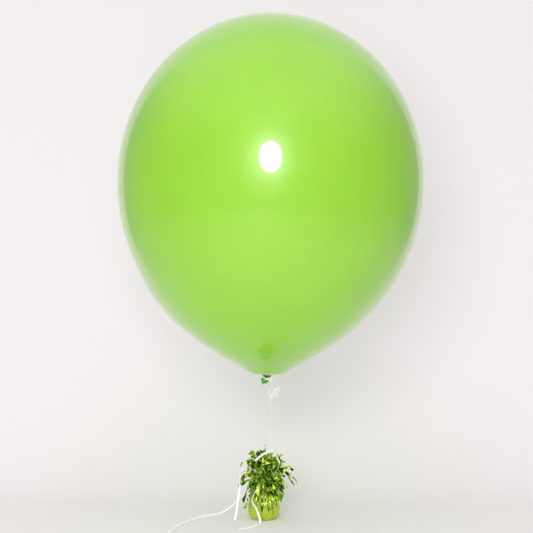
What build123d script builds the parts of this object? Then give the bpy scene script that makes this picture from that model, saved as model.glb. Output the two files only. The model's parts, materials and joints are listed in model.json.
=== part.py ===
from build123d import *
from math import cos, radians, sin
import os

# A helium party balloon on a ribbon: a blown-up latex body with its tied neck and rolled
# lip, a curling ribbon that tethers it, and the foil-wrapped tassel weight it is tied to.
#
# Millimetres, +Z up. The origin is the centre of the weight's flat base, on the floor.
# The front of the object faces -Y. The balloon stands above the weight on its ribbon.
#
# The ribbon turns about a knot at its foot, on top of the tassel, and about a hitch at
# its head, on the balloon's neck, and it can twist at its middle. Each knot sits inside
# a ball about its pivot, and whatever it meets stays outside that ball, so the pieces can
# turn without touching.

# ---------------------------------------------------------------- driving dimensions

# balloon body
BELLY_RADIUS = 300.0
CROWN_HEIGHT = 332.0  # belly to the top
FLANK_HEIGHT = 379.0  # belly down to the neck
LATEX_WALL = 0.15
BODY_BOTTOM_Z = 282.0  # where the neck leaves the body
NECK_X = 6.0  # the neck stands a little to the right of the weight
LEAN = 1.1  # degrees, the body leans right
ROUND = 0.5523  # handle length, as a share of the radius, that makes a cubic curve a quarter round

# the flank, as shares of the belly radius and of the flank height
FLANK = [(0.94, 0.689), (0.813, 0.470), (0.62, 0.285), (0.367, 0.129), (0.177, 0.036)]
FLANK_END_RADIUS = 12.0

# tied neck
NECK_RADIUS = 2.3
NECK_LENGTH = 10.0
PINCH_RADIUS = 1.2
PINCH_DEPTH = 1.0  # how far the hollow reaches into the neck before the knot squeezes it shut
KNOT_RING_RADIUS = 5.6
KNOT_STRAND_RADIUS = 2.7
KNOT_DROP = 3.3  # below the body
WRAP_RADIUS = 3.9
WRAP_CORD_RADIUS = 1.0
WRAP_DROP = 8.0
TAIL_DROP = 10.3
TAIL_LENGTH = 9.6
TAIL_SHIFT = 3.6  # the flared tail hangs to the left of the neck
MOUTH_TILT = -16.0  # degrees, the left end of the tail's mouth is the lower one
TAIL_STEM_RADIUS = 3.4
TAIL_WALL = 0.6
LIP_HALF_WIDTH = 7.2
LIP_HALF_DEPTH = 4.5
LIP_BEAD_RADIUS = 0.9
LIP_GAP = 0.1  # between the tail's mouth and the bead

# curling ribbon
RIBBON_WIDTH = 5.0
RIBBON_THICKNESS = 0.25
TETHER_X = 13.6
APEX_Z = 131.0  # the pivot at the ribbon's foot
HITCH_Z = 271.0  # the pivot at the ribbon's head
TWIST_Z = 190.0  # where the ribbon twists
TWIST_GAP = 0.5
APEX_KNOT_RADIUS = 4.0
HITCH_KNOT_RADIUS = 2.6
PIVOT_GAP = 0.5  # clearance around each knot's ball
KNOT_TILT = (25, 15, 0)  # degrees, how the turn of a knot leans

# the bow of spare ribbon: its knot, and its loops as points (x, z) from that knot
BOW_KNOT_RADIUS = 2.2
BOW_SHIFT = 3.4  # right of the tether
BOW_DROP = 13.0  # below the hitch
BOW_TALL_LOOP = [(0.6, 1), (8, 4), (13, 0), (9, -4.5), (0.8, -0.6)]
BOW_SHORT_LOOP = [(0.4, -1), (5, -10), (2, -17), (-1.4, -11), (-0.6, -1)]
BOW_END = [(1, -1), (9, -9), (13.5, -20)]

# the ribbon's loop through the tassel, as points (x, z) from the pivot at the ribbon's foot
SLING_RIGHT = [(4.7, -3), (12, -15), (2, -31), (-5.5, -42)]
SLING_LEFT = [(-13.3, -57.5), (-21, -42), (-28.5, -18), (-17, -6), (-4.7, -2.4)]

# foil weight
CUP_FOOT_RADIUS = 21.6
CUP_RIM_RADIUS = 27.8
CUP_HEIGHT = 34.0
CUP_WALL = 0.6
CUP_BASE_Z = 0.8
CORE_GAP = 0.1
FOIL_WALL = 0.4
FOIL_NECK_Z = 58.0
FOIL_COLLAR_Z = 68.0

# the pouch's side from its foot to its collar, as points (radius, height)
FOIL_SIDE = [
    (22.5, 0),
    (30.2, 7.98),
    (31.5, 21),
    (29.9, 34.65),
    (22.36, 48),
    (8.6, FOIL_NECK_Z),
    (15, FOIL_COLLAR_Z),
]

TIE_WIRE_RADIUS = 0.7
TIE_RADIUS = 9.8
TIE_HEADINGS = (-35, -62)  # degrees, where the wire's two ends point
TIE_END = [(0, 0), (6, -1), (11, -4)]  # one end, as points (out, up) from the ring
TUFT_RADIUS = 5.4
TUFT_BOTTOM_Z = 40.0
TUFT_TOP_Z = 68.5

# tassel strips
STRIP_WIDTH = 5.0
STRIP_THICKNESS = 0.2
STRIP_ROOT_Z = 66.5

# ribbon tails: a heading in degrees about +Z, and points (radius, height) out from the tie
TAIL_ROOT = (12.0, 58.0)
ON_FLOOR = 0.6  # height of a ribbon that lies on the floor
FRONT_TAIL = -108, [TAIL_ROOT, (26, 61), (38, 38), (41, 16), (50, 1.5), (62, ON_FLOOR), (80, ON_FLOOR)]
SIDE_TAIL = 192, [TAIL_ROOT, (32, 65), (50, 47), (58, 20), (60, 1)]
FLOOR_TAIL = 222, [TAIL_ROOT, (38, 58), (62, 26), (86, 4), (108, ON_FLOOR), (150, ON_FLOOR), (205, ON_FLOOR)]

# --------------------------------------------------------------------- shared shapes


def balloon_side():
    """The plane of the body's half outline: local x is radial, local y runs up the leaning axis."""
    lean = radians(LEAN)
    return Plane((NECK_X, 0, BODY_BOTTOM_Z), x_dir=(cos(lean), 0, -sin(lean)), z_dir=(0, -1, 0))


def balloon_axis():
    return Axis(balloon_side().origin, balloon_side().y_dir)


def neck_plane(drop, shift=0.0):
    """A plane across the neck, a drop below the body along the leaning axis and a shift to the left."""
    side = balloon_side()
    return Plane(side.origin - side.y_dir * drop - side.x_dir * shift, x_dir=side.x_dir, z_dir=side.y_dir)


def body_outline(share, neck_radius, neck_length):
    """The closed half outline of the body, shrunk about the belly's centre to a share of its size."""

    def at(radius, height):
        return (radius * share, FLANK_HEIGHT + (height - FLANK_HEIGHT) * share)

    top = FLANK_HEIGHT + CROWN_HEIGHT
    flank_points = [at(radius * BELLY_RADIUS, height * FLANK_HEIGHT) for radius, height in FLANK]
    with BuildSketch(balloon_side()) as outline:
        with BuildLine():
            crown = Bezier(
                at(BELLY_RADIUS, FLANK_HEIGHT),
                at(BELLY_RADIUS, FLANK_HEIGHT + CROWN_HEIGHT * ROUND),
                at(BELLY_RADIUS * ROUND, top),
                at(0, top),
            )
            flank = Spline(
                crown @ 0, *flank_points, at(FLANK_END_RADIUS, 0), tangents=((0, -1), (-1, -0.15))
            )
            bottom = (flank @ 1).Y
            Polyline(
                flank @ 1,
                (neck_radius, bottom),
                (neck_radius, bottom - neck_length),
                (0, bottom - neck_length),
                crown @ 1,
            )
        make_face()
    return outline.sketch


def flat_strip(upright, points, width, thickness):
    """A strip along a smooth line through the points of an upright plane, its width across it."""
    with BuildPart() as strip:
        with BuildLine(upright) as run:
            Spline(*points)
        with BuildSketch(Plane(run.line @ 0, x_dir=upright.z_dir, z_dir=run.line % 0)):
            Rectangle(width, thickness)
        sweep()
    return strip.part


def ribbon_strip(points, origin=(0, 0, 0)):
    """A piece of ribbon in the plane that faces the front, through points (x, z) from the origin."""
    upright = Plane(origin, x_dir=(1, 0, 0), z_dir=(0, -1, 0))
    return flat_strip(upright, points, RIBBON_WIDTH, RIBBON_THICKNESS)


def ribbon_tail(heading, points):
    """A ribbon end that leaves the tie at a heading and falls to the floor."""
    out = radians(heading)
    upright = Plane((0, 0, 0), x_dir=(cos(out), sin(out), 0), z_dir=(sin(out), -cos(out), 0))
    return flat_strip(upright, points, RIBBON_WIDTH, RIBBON_THICKNESS)


def round_knot(centre, radius):
    """A tight knot inside a ball about the centre: a round middle with one tilted turn around it."""
    with BuildPart() as knot:
        with Locations(Location(centre, KNOT_TILT)):
            Sphere(radius * 0.75)
            Torus(radius * 0.6, radius * 0.38)
    return knot.part


def strip_ring(count, start_radius, rise, reach, end_z, first_angle):
    """A ring of tassel strips that leave the foil's collar, arch over and end at reach and end_z."""
    arch = [
        (start_radius, STRIP_ROOT_Z),
        ((start_radius + reach) / 2, STRIP_ROOT_Z + rise),
        (reach, end_z),
    ]
    strip = flat_strip(Plane.XZ, arch, STRIP_WIDTH, STRIP_THICKNESS)
    with BuildPart() as ring:
        with PolarLocations(0, count, start_angle=first_angle):
            add(strip)
    return ring.part


def weight_outline(foot_radius, rim_radius, bottom_z, top_z):
    """The half outline of an upright frustum about the Z axis."""
    with BuildSketch(Plane.XZ) as outline:
        with BuildLine():
            Polyline((0, bottom_z), (foot_radius, bottom_z), (rim_radius, top_z), (0, top_z), close=True)
        make_face()
    return outline.sketch


def foil_outline(inset):
    """The half outline of the foil pouch, inset from its outer surface and open at the collar."""
    with BuildSketch(Plane.XZ) as outline:
        with BuildLine():
            wall = Spline(*[(radius - inset, max(height, inset)) for radius, height in FOIL_SIDE])
            Polyline(wall @ 1, (0, FOIL_COLLAR_Z), (0, inset), wall @ 0)
        make_face()
    return outline.sketch


os.makedirs("parts", exist_ok=True)

# --------------------------------------------------------------------------- balloon

# the blown-up body: a thin latex skin around the helium, with the neck squeezed shut
with BuildPart() as balloon_envelope:
    add(body_outline(1, NECK_RADIUS, NECK_LENGTH))
    revolve(axis=balloon_axis())
    add(body_outline(1 - LATEX_WALL / BELLY_RADIUS, PINCH_RADIUS, PINCH_DEPTH))
    revolve(axis=balloon_axis(), mode=Mode.SUBTRACT)
balloon_envelope.part.label = "balloon_envelope"
export_step(balloon_envelope.part, "parts/balloon_envelope.step")

# the overhand knot, one fat turn of the rolled-up neck
with BuildPart() as neck_knot:
    with Locations(neck_plane(KNOT_DROP)):
        Torus(KNOT_RING_RADIUS, KNOT_STRAND_RADIUS)
neck_knot.part.label = "neck_knot"
export_step(neck_knot.part, "parts/neck_knot.step")

# the ribbon's turn around the neck, just under the knot
with BuildPart() as neck_wrap:
    with Locations(neck_plane(WRAP_DROP)):
        Torus(WRAP_RADIUS, WRAP_CORD_RADIUS)
neck_wrap.part.label = "neck_wrap"
export_step(neck_wrap.part, "parts/neck_wrap.step")

# the flared end of the neck that hangs out of the knot
tail_top = neck_plane(TAIL_DROP)
tail_mouth = neck_plane(TAIL_DROP + TAIL_LENGTH, TAIL_SHIFT).rotated((0, MOUTH_TILT, 0))
with BuildPart() as neck_tail:
    with BuildSketch(tail_top):
        Circle(TAIL_STEM_RADIUS)
    with BuildSketch(tail_mouth):
        Ellipse(LIP_HALF_WIDTH, LIP_HALF_DEPTH)
    loft()
    with BuildSketch(tail_top.offset(-2 * TAIL_WALL)):
        Circle(TAIL_STEM_RADIUS - TAIL_WALL)
    with BuildSketch(tail_mouth.offset(-TAIL_WALL)):
        Ellipse(LIP_HALF_WIDTH - TAIL_WALL, LIP_HALF_DEPTH - TAIL_WALL)
    loft(mode=Mode.SUBTRACT)
neck_tail.part.label = "neck_tail"
export_step(neck_tail.part, "parts/neck_tail.step")

# the rolled bead around the tail's mouth
with BuildPart() as rolled_lip:
    with BuildLine(tail_mouth.offset(-LIP_BEAD_RADIUS - LIP_GAP)) as rim:
        EllipticalCenterArc((0, 0), LIP_HALF_WIDTH, LIP_HALF_DEPTH, start_angle=0, arc_size=360)
    with BuildSketch(Plane(rim.line @ 0, z_dir=rim.line % 0)):
        Circle(LIP_BEAD_RADIUS)
    sweep()
rolled_lip.part.label = "rolled_lip"
export_step(rolled_lip.part, "parts/rolled_lip.step")

# ---------------------------------------------------------------------------- tether

# the knot at the ribbon's head, beside the neck
with BuildPart() as hitch_knot:
    add(round_knot((TETHER_X, 0, HITCH_Z), HITCH_KNOT_RADIUS))
hitch_knot.part.label = "hitch_knot"
export_step(hitch_knot.part, "parts/hitch_knot.step")

# the ribbon itself, edge on to the front, in two halves that meet at the twist
with BuildPart() as tether_upper:
    with BuildSketch(Plane((TETHER_X, 0, TWIST_Z + TWIST_GAP / 2))):
        Rectangle(RIBBON_THICKNESS, RIBBON_WIDTH)
    extrude(amount=HITCH_Z - HITCH_KNOT_RADIUS - PIVOT_GAP - TWIST_Z - TWIST_GAP / 2)
tether_upper.part.label = "tether_upper"
export_step(tether_upper.part, "parts/tether_upper.step")

with BuildPart() as tether_lower:
    with BuildSketch(Plane((TETHER_X, 0, APEX_Z + APEX_KNOT_RADIUS + PIVOT_GAP))):
        Rectangle(RIBBON_THICKNESS, RIBBON_WIDTH)
    extrude(amount=TWIST_Z - TWIST_GAP / 2 - APEX_Z - APEX_KNOT_RADIUS - PIVOT_GAP)
tether_lower.part.label = "tether_lower"
export_step(tether_lower.part, "parts/tether_lower.step")

# the bow of spare ribbon under the hitch: a knot with a tall loop, a short loop and an end
bow_centre = (TETHER_X + BOW_SHIFT, 0, HITCH_Z - BOW_DROP)
with BuildPart() as ribbon_bow:
    add(round_knot(bow_centre, BOW_KNOT_RADIUS))
    for loop in (BOW_TALL_LOOP, BOW_SHORT_LOOP, BOW_END):
        add(ribbon_strip(loop, bow_centre))
ribbon_bow.part.label = "ribbon_bow"
export_step(ribbon_bow.part, "parts/ribbon_bow.step")

# the knot at the ribbon's foot
with BuildPart() as sling_knot:
    add(round_knot((TETHER_X, 0, APEX_Z), APEX_KNOT_RADIUS))
sling_knot.part.label = "sling_knot"
export_step(sling_knot.part, "parts/sling_knot.step")

# the ribbon's loop through the middle of the tassel, whose two legs meet at the foot knot
with BuildPart() as sling_ribbon:
    add(ribbon_strip(SLING_RIGHT + SLING_LEFT, (TETHER_X, 0, APEX_Z)))
sling_ribbon.part.label = "sling_ribbon"
export_step(sling_ribbon.part, "parts/sling_ribbon.step")

# ---------------------------------------------------------------------------- weight

# the cup that holds the weight
with BuildPart() as slug_cup:
    add(weight_outline(CUP_FOOT_RADIUS, CUP_RIM_RADIUS, CUP_BASE_Z, CUP_BASE_Z + CUP_HEIGHT))
    revolve(axis=Axis.Z)
    hollow_foot = CUP_FOOT_RADIUS - CUP_WALL
    hollow_rim = CUP_RIM_RADIUS - CUP_WALL
    add(weight_outline(hollow_foot, hollow_rim, CUP_BASE_Z + CUP_WALL, CUP_BASE_Z + CUP_HEIGHT))
    revolve(axis=Axis.Z, mode=Mode.SUBTRACT)
slug_cup.part.label = "slug_cup"
export_step(slug_cup.part, "parts/slug_cup.step")

# the cast filling, just short of the cup's rim
with BuildPart() as weight_core:
    add(
        weight_outline(
            CUP_FOOT_RADIUS - CUP_WALL - CORE_GAP,
            CUP_RIM_RADIUS - CUP_WALL - 3 * CORE_GAP,
            CUP_BASE_Z + CUP_WALL + CORE_GAP,
            CUP_BASE_Z + CUP_HEIGHT - CUP_WALL,
        )
    )
    revolve(axis=Axis.Z)
weight_core.part.label = "weight_core"
export_step(weight_core.part, "parts/weight_core.step")

# the foil gathered up around the cup and flared above the tie
with BuildPart() as foil_wrap:
    add(foil_outline(0))
    revolve(axis=Axis.Z)
    add(foil_outline(FOIL_WALL))
    revolve(axis=Axis.Z, mode=Mode.SUBTRACT)
foil_wrap.part.label = "foil_wrap"
export_step(foil_wrap.part, "parts/foil_wrap.step")

# the wire tie around the gathered neck, with its two short ends
with BuildPart() as neck_tie:
    with Locations((0, 0, FOIL_NECK_Z)):
        Torus(TIE_RADIUS, TIE_WIRE_RADIUS)
    for heading in TIE_HEADINGS:
        with BuildLine(Plane.XZ.rotated((0, 0, heading))) as end:
            Spline(*[(TIE_RADIUS + out, FOIL_NECK_Z + up) for out, up in TIE_END])
        with BuildSketch(Plane(end.line @ 0, z_dir=end.line % 0)):
            Circle(TIE_WIRE_RADIUS)
        sweep()
neck_tie.part.label = "neck_tie"
export_step(neck_tie.part, "parts/neck_tie.step")

# the gathered roots of the tassel, held in the foil's neck
with BuildPart() as tassel_bundle:
    with BuildSketch(Plane.XY.offset(TUFT_BOTTOM_Z)):
        Circle(TUFT_RADIUS)
    extrude(amount=TUFT_TOP_Z - TUFT_BOTTOM_Z)
tassel_bundle.part.label = "tassel_bundle"
export_step(tassel_bundle.part, "parts/tassel_bundle.step")

# the tassel's strips, in three rings
with BuildPart() as tassel_inner:
    add(strip_ring(count=8, start_radius=7, rise=38, reach=27, end_z=138, first_angle=22.5))
tassel_inner.part.label = "tassel_inner"
export_step(tassel_inner.part, "parts/tassel_inner.step")

with BuildPart() as tassel_middle:
    add(strip_ring(count=10, start_radius=8.6, rise=33, reach=46, end_z=104, first_angle=9))
tassel_middle.part.label = "tassel_middle"
export_step(tassel_middle.part, "parts/tassel_middle.step")

with BuildPart() as tassel_outer:
    add(strip_ring(count=12, start_radius=11, rise=19, reach=56, end_z=58, first_angle=15))
tassel_outer.part.label = "tassel_outer"
export_step(tassel_outer.part, "parts/tassel_outer.step")

# the ribbon's three loose ends
with BuildPart() as front_tail:
    add(ribbon_tail(*FRONT_TAIL))
front_tail.part.label = "front_tail"
export_step(front_tail.part, "parts/front_tail.step")

with BuildPart() as side_tail:
    add(ribbon_tail(*SIDE_TAIL))
side_tail.part.label = "side_tail"
export_step(side_tail.part, "parts/side_tail.step")

with BuildPart() as floor_tail:
    add(ribbon_tail(*FLOOR_TAIL))
floor_tail.part.label = "floor_tail"
export_step(floor_tail.part, "parts/floor_tail.step")
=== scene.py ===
import json
import math
import random

import bpy
import numpy as np
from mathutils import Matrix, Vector, noise


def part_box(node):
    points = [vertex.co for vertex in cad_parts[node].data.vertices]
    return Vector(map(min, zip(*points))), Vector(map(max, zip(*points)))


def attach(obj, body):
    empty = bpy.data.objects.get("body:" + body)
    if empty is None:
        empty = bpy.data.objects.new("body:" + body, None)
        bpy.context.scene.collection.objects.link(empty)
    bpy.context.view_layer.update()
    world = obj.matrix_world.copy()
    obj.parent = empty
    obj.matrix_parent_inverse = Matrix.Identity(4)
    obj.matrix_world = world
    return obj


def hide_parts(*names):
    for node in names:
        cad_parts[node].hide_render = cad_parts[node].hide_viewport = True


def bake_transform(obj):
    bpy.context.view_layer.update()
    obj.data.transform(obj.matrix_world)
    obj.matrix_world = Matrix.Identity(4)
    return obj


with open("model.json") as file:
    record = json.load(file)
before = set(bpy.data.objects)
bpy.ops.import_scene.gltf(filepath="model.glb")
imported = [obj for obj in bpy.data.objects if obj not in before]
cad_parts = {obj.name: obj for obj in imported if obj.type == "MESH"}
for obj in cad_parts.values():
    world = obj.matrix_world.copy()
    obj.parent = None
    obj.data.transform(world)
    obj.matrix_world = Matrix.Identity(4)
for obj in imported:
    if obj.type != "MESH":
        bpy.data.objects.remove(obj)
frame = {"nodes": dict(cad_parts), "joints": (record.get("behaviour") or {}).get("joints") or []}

# The looks of a party balloon: a blown-up latex body with its tied neck, a clear curling
# ribbon, and the foil-wrapped tassel weight that holds it down. Lengths are in metres, and
# MM turns millimetres into them. Each piece is built around the CAD node it stands for.

MM = 0.001
UP = np.array((0.0, 0.0, 1.0))
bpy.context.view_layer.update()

# ------------------------------------------------------------- places from the frame


def box_of(node):
    """The lowest and highest corners of a CAD node, and its centre, as arrays."""
    low, high = (np.array(corner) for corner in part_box(node))
    return low, high, (low + high) / 2


def pivot_of(joint_name):
    joint = next(joint for joint in frame["joints"] if joint["name"] == joint_name)
    return np.array(joint["pos_m"], float)


FOOT_PIVOT = pivot_of("tether_sway_side")
HITCH_PIVOT = pivot_of("balloon_lean")

body_low, body_high, body_centre = box_of("balloon_envelope")
knot_high, knot_centre = box_of("neck_knot")[1:]
BELLY_RADIUS = (body_high[1] - body_low[1]) / 2
NECK = np.array((knot_centre[0], 0.0, knot_high[2] + 0.6 * MM))  # the foot of the blown-up body
BODY_HEIGHT = body_high[2] - NECK[2]
FLANK_HEIGHT = 0.533 * BODY_HEIGHT  # from the foot up to the belly
CROWN_HEIGHT = BODY_HEIGHT - FLANK_HEIGHT
LEAN = math.atan2(body_centre[0] - NECK[0], FLANK_HEIGHT)
NECK_UP = np.array((math.sin(LEAN), 0.0, math.cos(LEAN)))
NECK_RIGHT = np.array((math.cos(LEAN), 0.0, -math.sin(LEAN)))
NECK_BACK = np.array((0.0, 1.0, 0.0))

POUCH_RADIUS = box_of("foil_wrap")[1][0]
POUCH_TOP = box_of("foil_wrap")[1][2]
TIE_Z = box_of("neck_tie")[1][2] - 0.7 * MM
APEX_BALL = 4.0 * MM  # the foot knot stays inside this ball about its pivot
HITCH_BALL = 2.6 * MM
DRAWN_POUCH_RADIUS = 31.5 * MM  # the widest radius that the pouch's outline below is drawn for

# the drawn outline of the body is a little inside the CAD's
BODY_FILL = 0.996
CROWN_FILL = 0.988
PLAIN_END = 12 * MM  # the neck's radius where the body begins to swell


def near_neck(right, back, up):
    """A point from millimetres right of, behind and above the foot of the blown-up body."""
    return NECK + (NECK_RIGHT * right + NECK_BACK * back + NECK_UP * up) * MM


# ------------------------------------------------------------------------- mesh tools


def mesh_object(name, vertices, faces, material, smooth=True, attributes=None):
    """A mesh in the scene, with one value at each vertex for every named attribute."""
    mesh = bpy.data.meshes.new(name)
    mesh.from_pydata([tuple(v) for v in vertices], [], faces)
    for key, values in (attributes or {}).items():
        layer = mesh.attributes.new(key, "FLOAT", "POINT")
        layer.data.foreach_set("value", np.asarray(values, np.float32).ravel())
    mesh.polygons.foreach_set("use_smooth", [smooth] * len(mesh.polygons))
    mesh.materials.append(material)
    mesh.update()
    piece = bpy.data.objects.new(name, mesh)
    bpy.context.scene.collection.objects.link(piece)
    return piece


def grid_faces(rows, columns, loop=False, start=0):
    """Quads between neighbouring rows of a tube. With loop, the last row joins the first."""
    faces = []
    for i in range(rows if loop else rows - 1):
        here, after = start + i * columns, start + (i + 1) % rows * columns
        for j in range(columns):
            k = (j + 1) % columns
            faces.append((here + j, here + k, after + k, after + j))
    return faces


def tube_faces(rows, columns, start=0):
    """The faces of a closed tube: its walls and its two end caps."""
    last = start + (rows - 1) * columns
    caps = [tuple(start + j for j in reversed(range(columns))), tuple(last + j for j in range(columns))]
    return grid_faces(rows, columns, start=start) + caps


def bezier(a, b, c, d, count):
    t = np.linspace(0, 1, count)[:, None]
    a, b, c, d = (np.array(p, float) for p in (a, b, c, d))
    return (1 - t) ** 3 * a + 3 * (1 - t) ** 2 * t * b + 3 * (1 - t) * t**2 * c + t**3 * d


def evenly(path, spacing):
    """The same path with points a spacing apart."""
    run = np.concatenate(([0.0], np.cumsum(np.linalg.norm(np.diff(path, axis=0), axis=1))))
    at = np.linspace(0, run[-1], max(3, int(run[-1] / spacing) + 1))
    return np.stack([np.interp(at, run, path[:, k]) for k in range(path.shape[1])], axis=1)


def smooth_path(points, spacing):
    """Points a spacing apart on a smooth curve through the given points."""
    knots = np.array(points, float)
    run = np.concatenate(([0.0], np.cumsum(np.linalg.norm(np.diff(knots, axis=0), axis=1))))
    slope = np.gradient(knots, run, axis=0)
    at = np.linspace(0, run[-1], 40 * len(knots))
    i = np.clip(np.searchsorted(run, at, side="right") - 1, 0, len(run) - 2)
    gap = (run[i + 1] - run[i])[:, None]
    u = (at - run[i])[:, None] / gap
    path = (
        (1 + 2 * u) * (1 - u) ** 2 * knots[i]
        + u * (1 - u) ** 2 * gap * slope[i]
        + u**2 * (3 - 2 * u) * knots[i + 1]
        + u**2 * (u - 1) * gap * slope[i + 1]
    )
    return evenly(path, spacing)


def carried_sides(path, side, roll=0.0):
    """Side and face directions at each point of a path, carried along it and turned by roll degrees."""
    tangent = np.gradient(path, axis=0)
    tangent /= np.linalg.norm(tangent, axis=1)[:, None]
    sides = np.empty_like(path)
    current = np.array(side, float)
    for i, ahead in enumerate(tangent):
        current = current - ahead * (current @ ahead)
        current /= np.linalg.norm(current)
        sides[i] = current
    faces = np.cross(tangent, sides)
    turn = np.radians(np.broadcast_to(roll, len(path)))[:, None]
    return sides * np.cos(turn) + faces * np.sin(turn), faces * np.cos(turn) - sides * np.sin(turn)


def sweep_rows(path, side, sections, roll=0.0):
    """Rows of points: each section, in metres across and off the face, set at its point of the path."""
    sides, faces = carried_sides(path, side, roll)
    sections = np.broadcast_to(sections, (len(path),) + sections.shape[-2:])
    return path[:, None] + sections[..., :1] * sides[:, None] + sections[..., 1:] * faces[:, None]


def settle(piece, body, slot, *nodes):
    """Puts a piece on its body, in place of the CAD nodes it stands for."""
    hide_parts(*nodes)
    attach(piece, body)


def fused(piece, voxel):
    """Melts a piece's overlapping parts into one closed surface and smooths it."""
    remesh = piece.modifiers.new("fuse", "REMESH")
    remesh.mode = "VOXEL"
    remesh.voxel_size = voxel
    soften = piece.modifiers.new("soften", "SMOOTH")
    soften.factor = 0.5
    soften.iterations = 4
    graph = bpy.context.evaluated_depsgraph_get()
    mesh = bpy.data.meshes.new_from_object(piece.evaluated_get(graph))
    piece.modifiers.clear()
    piece.data = mesh
    mesh.polygons.foreach_set("use_smooth", [True] * len(mesh.polygons))


def ease(value, low, high):
    """0 below low, 1 above high, and smooth between."""
    t = np.clip((value - low) / (high - low), 0, 1)
    return t * t * (3 - 2 * t)


def lumps(points, scale, seed=0.0):
    """Smooth noise from -1 to 1 at each point, with lumps about one scale across."""
    shift = Vector((seed, -seed, 2 * seed))
    return np.array([noise.noise(Vector(p) / scale + shift) for p in points])


# -------------------------------------------------------------------------- materials


class Paint:
    """A Principled material and short ways to feed its inputs from patterns."""

    def __init__(self, name, colour, roughness, **inputs):
        self.material = bpy.data.materials.new(name)
        self.material.use_nodes = True
        self.tree = self.material.node_tree
        self.shader = self.tree.nodes["Principled BSDF"]
        self.shader.inputs["Base Color"].default_value = (*colour, 1)
        self.shader.inputs["Roughness"].default_value = roughness
        for key, value in inputs.items():
            self.shader.inputs[key.replace("_", " ")].default_value = value
        self.place = self.node("ShaderNodeTexCoord").outputs["Object"]

    def node(self, kind, **settings):
        node = self.tree.nodes.new(kind)
        for key, value in settings.items():
            setattr(node, key, value)
        return node

    def link(self, source, target):
        self.tree.links.new(source, target)

    def noise(self, size, detail=3.0, stretch=(1, 1, 1)):
        """A noise pattern whose lumps are about size metres across."""
        mapping = self.node("ShaderNodeMapping")
        mapping.inputs["Scale"].default_value = stretch
        self.link(self.place, mapping.inputs["Vector"])
        texture = self.node("ShaderNodeTexNoise")
        texture.inputs["Scale"].default_value = 1 / size
        texture.inputs["Detail"].default_value = detail
        self.link(mapping.outputs["Vector"], texture.inputs["Vector"])
        return texture.outputs["Fac"]

    def cells(self, size):
        """A pattern of flat cells about size metres across: the distance to the nearest edge."""
        texture = self.node("ShaderNodeTexVoronoi", feature="DISTANCE_TO_EDGE")
        texture.inputs["Scale"].default_value = 1 / size
        self.link(self.place, texture.inputs["Vector"])
        return texture.outputs["Distance"]

    def attribute(self, name):
        return self.node("ShaderNodeAttribute", attribute_name=name).outputs["Fac"]

    def maths(self, operation, a, b):
        node = self.node("ShaderNodeMath", operation=operation)
        for socket, value in zip(node.inputs, (a, b)):
            if isinstance(value, (int, float)):
                socket.default_value = value
            else:
                self.link(value, socket)
        return node.outputs["Value"]

    def spread(self, source, low, high, out_low, out_high):
        """Source from low..high mapped to out_low..out_high."""
        node = self.node("ShaderNodeMapRange")
        self.link(source, node.inputs["Value"])
        for key, value in (("From Min", low), ("From Max", high), ("To Min", out_low), ("To Max", out_high)):
            node.inputs[key].default_value = value
        return node.outputs["Result"]

    def mix(self, factor, a, b):
        """Colour a where the factor is 0 and b where it is 1. Either may be a socket."""
        node = self.node("ShaderNodeMix", data_type="RGBA")
        self.link(factor, node.inputs["Factor"])
        for socket, value in ((node.inputs["A"], a), (node.inputs["B"], b)):
            if isinstance(value, tuple):
                socket.default_value = (*value, 1)
            else:
                self.link(value, socket)
        return node.outputs["Result"]

    def ramp(self, source, *colours):
        """Colours at even steps from 0 to 1 of the source."""
        node = self.node("ShaderNodeValToRGB")
        stops = node.color_ramp.elements
        while len(stops) < len(colours):
            stops.new(0.5)
        for i, (stop, colour) in enumerate(zip(stops, colours)):
            stop.position = i / (len(colours) - 1)
            stop.color = (*colour, 1)
        self.link(source, node.inputs["Fac"])
        return node.outputs["Color"]

    def bump(self, height, distance, after=None):
        """A bump whose relief is distance metres deep, laid over an earlier bump if there is one."""
        node = self.node("ShaderNodeBump")
        node.inputs["Distance"].default_value = distance
        node.inputs["Strength"].default_value = 1.0
        self.link(height, node.inputs["Height"])
        if after is not None:
            self.link(after, node.inputs["Normal"])
        return node.outputs["Normal"]

    def feed(self, **sockets):
        for key, source in sockets.items():
            self.link(source, self.shader.inputs[key.replace("_", " ")])
        return self.material


def latex_body_material():
    """Blown-up latex: even and glossy, with faint dip marks, and deeper where it is less stretched."""
    paint = Paint("latex_body", (0.33, 0.70, 0.03), 0.34, Coat_Weight=1.0, Coat_Roughness=0.07, Coat_IOR=1.5)
    drift = paint.spread(paint.noise(160 * MM, 2.0), 0.35, 0.65, 0.0, 1.0)
    even = paint.mix(drift, (0.285, 0.672, 0.020), (0.312, 0.700, 0.027))
    streaks = paint.spread(paint.noise(9 * MM, 2.0, (1, 1, 0.08)), 0.42, 0.72, 0.0, 0.22)
    streaked = paint.mix(streaks, even, (0.262, 0.640, 0.016))
    colour = paint.mix(paint.attribute("thick"), streaked, (0.10, 0.42, 0.012))
    rough = paint.spread(paint.noise(30 * MM), 0.3, 0.7, 0.30, 0.38)
    film = paint.spread(paint.noise(18 * MM), 0.35, 0.7, 0.055, 0.095)
    waves = paint.bump(paint.noise(26 * MM, 1.0), 0.05 * MM)
    relief = paint.bump(paint.noise(0.9 * MM, 2.0), 0.006 * MM, after=waves)
    return paint.feed(Base_Color=colour, Roughness=rough, Coat_Roughness=film, Normal=relief)


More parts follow.
